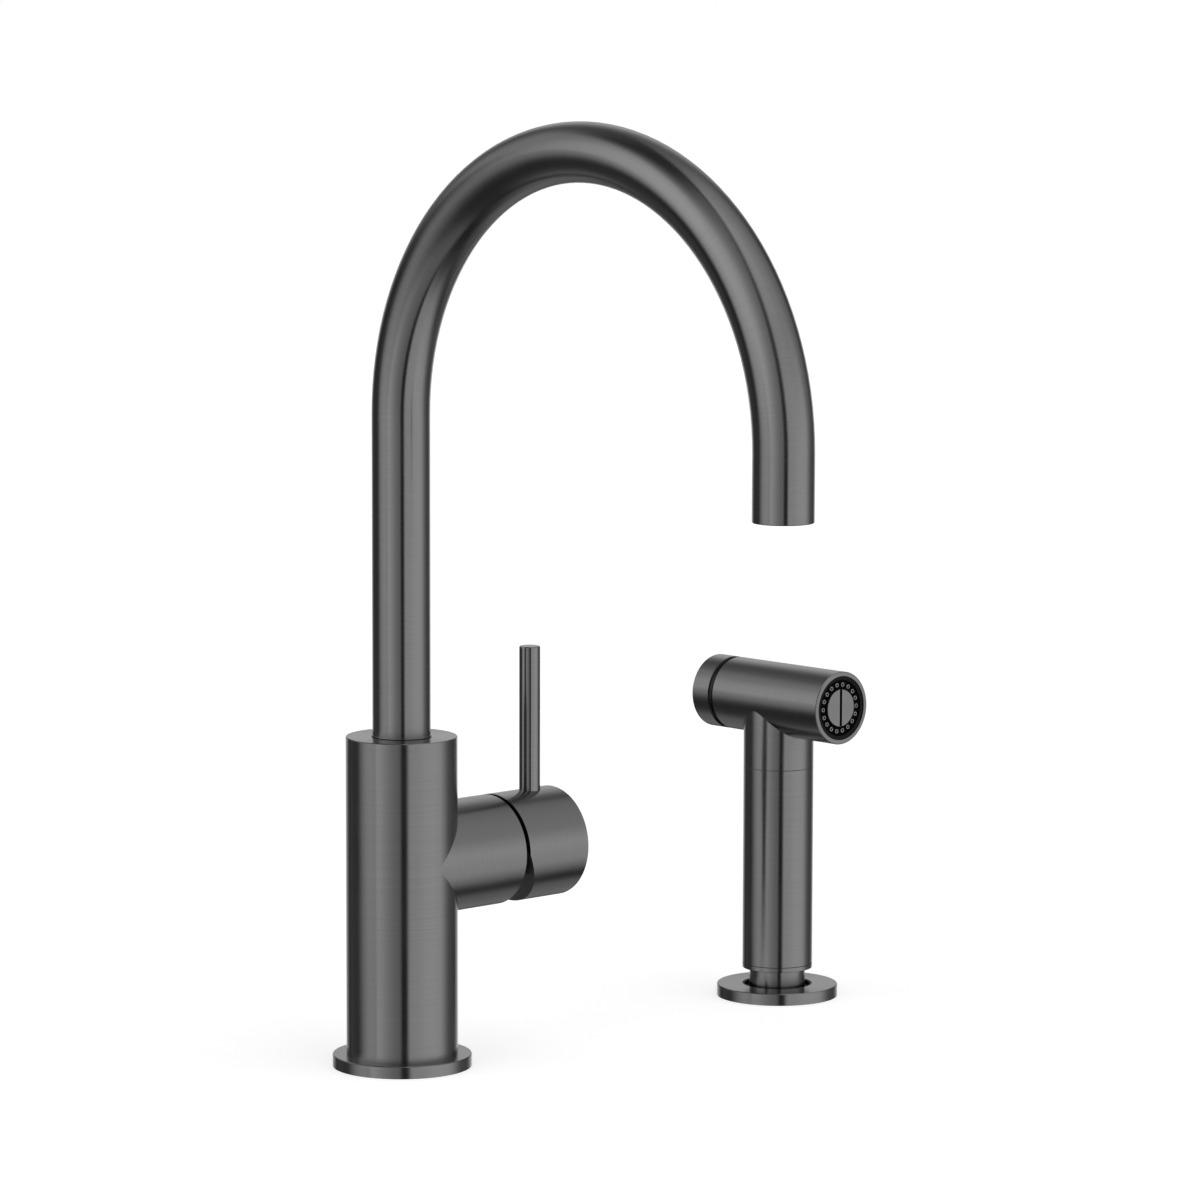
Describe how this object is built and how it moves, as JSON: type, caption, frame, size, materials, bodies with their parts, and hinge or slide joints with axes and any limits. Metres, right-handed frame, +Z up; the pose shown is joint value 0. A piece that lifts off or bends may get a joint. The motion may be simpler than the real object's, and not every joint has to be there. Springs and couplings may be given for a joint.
{
  "type": "side spray kitchen faucet",
  "caption": "Gooseneck kitchen mixer with a side lever valve on a round column, and a T-headed spray handset standing in its own round deck holder.",
  "frame": {"origin": "on the mixer column's axis, in the deck surface that the base plate stands on", "axes": "+Z up, -Y along the spout's reach in the shown position, +X towards the side valve and on to the spray handset"},
  "size_m": [0.2858, 0.2818, 0.4711],
  "materials": {
    "gunmetal": "brushed stainless steel with a dark grey vapour-deposited coat, satin",
    "bare_steel": "bare stainless steel, turned",
    "zinc_steel": "zinc-plated steel, dull",
    "brass": "turned brass",
    "black_rubber": "black rubber, matt",
    "white_plastic": "white acetal, matt",
    "grey_plastic": "grey acetal, matt",
    "black_plastic": "black moulded plastic, fine matt grain",
    "grey_silicone": "grey silicone rubber",
    "ceramic": "lapped alumina, smooth"
  },
  "bodies": {
    "deck_assembly": {"base_flange": "gunmetal", "base_gasket": "black_rubber", "body_shell": "gunmetal", "spout_guide_ring": "white_plastic", "spout_set_screw": "bare_steel", "mounting_stud": "zinc_steel", "horseshoe_washer": "black_rubber", "clamp_plate": "zinc_steel", "stud_nut": "brass", "diverter_housing": "white_plastic", "cartridge_base": "white_plastic", "cartridge_port_seals": "black_rubber", "ceramic_disc_fixed": "ceramic", "cartridge_housing": "white_plastic", "cartridge_nut": "brass", "spray_flange": "gunmetal", "spray_gasket": "black_rubber", "holder_shank": "brass", "holder_liner": "black_plastic", "holder_rubber_washer": "black_rubber", "holder_metal_washer": "zinc_steel", "holder_nut": "brass"},
    "spout": {"spout_tube": "gunmetal", "spout_foot": "brass", "spout_o_rings": "black_rubber", "outlet_sleeve": "gunmetal", "aerator_insert": "grey_plastic", "aerator_washer": "black_rubber"},
    "diverter": {"diverter_plunger": "black_plastic"},
    "turret": {"valve_turret": "white_plastic", "turret_pivot_pin": "bare_steel"},
    "lever": {"cartridge_stem": "brass", "handle_hub": "gunmetal", "lever_rod": "gunmetal", "handle_grub_screw": "bare_steel", "grub_cover_cap": "black_plastic"},
    "moving_disc": {"ceramic_disc_moving": "ceramic", "disc_carrier": "white_plastic"},
    "handset_neck": {"hose_neck": "gunmetal", "neck_collar": "gunmetal", "neck_o_ring": "black_rubber", "check_valve": "grey_plastic"},
    "handset": {"grip_tube": "gunmetal", "grip_core": "grey_plastic", "handset_head": "gunmetal", "valve_body": "grey_plastic", "spray_face": "black_plastic", "spray_nozzles": "grey_silicone", "face_disc": "gunmetal", "return_spring": "bare_steel", "button_boot": "black_rubber"},
    "button": {"push_button": "gunmetal", "valve_stem": "bare_steel", "valve_seal": "black_rubber"}
  },
  "joints": [
    {"name": "spout_swivel", "type": "hinge", "parent": "deck_assembly", "child": "spout", "pos_m": [0, 0, 0.1233], "axis": [0, 0, 1], "continuous": true},
    {"name": "diverter_lift", "type": "slide", "parent": "deck_assembly", "child": "diverter", "axis": [0, 0, 1], "range_m": [0, 0.003]},
    {"name": "temperature_turn", "type": "hinge", "parent": "deck_assembly", "child": "turret", "pos_m": [0.035, 0, 0.0882], "axis": [1, 0, 0], "range_deg": [-45, 45]},
    {"name": "lever_tilt", "type": "hinge", "parent": "turret", "child": "lever", "pos_m": [0.035, 0, 0.0882], "axis": [0, 1, 0], "range_deg": [0, 20]},
    {"name": "disc_slide", "type": "slide", "parent": "turret", "child": "moving_disc", "axis": [0, 0, 1], "range_m": [0, 0.00295]},
    {"name": "handset_lift", "type": "slide", "parent": "deck_assembly", "child": "handset_neck", "axis": [0, 0, 1], "range_m": [0, 0.09]},
    {"name": "handset_swivel", "type": "hinge", "parent": "handset_neck", "child": "handset", "pos_m": [0.2282, 0, 0.02], "axis": [0, 0, 1], "continuous": true},
    {"name": "button_press", "type": "slide", "parent": "handset", "child": "button", "axis": [0, -1, 0], "range_m": [0, 0.002], "stiffness_N_per_m": 800, "springref_m": -0.004, "deforming": ["return_spring", "button_boot"]}
  ],
  "couplings": [
    {"joint": "disc_slide", "follows": "lever_tilt", "m_per_rad": 0.0084}
  ]
}
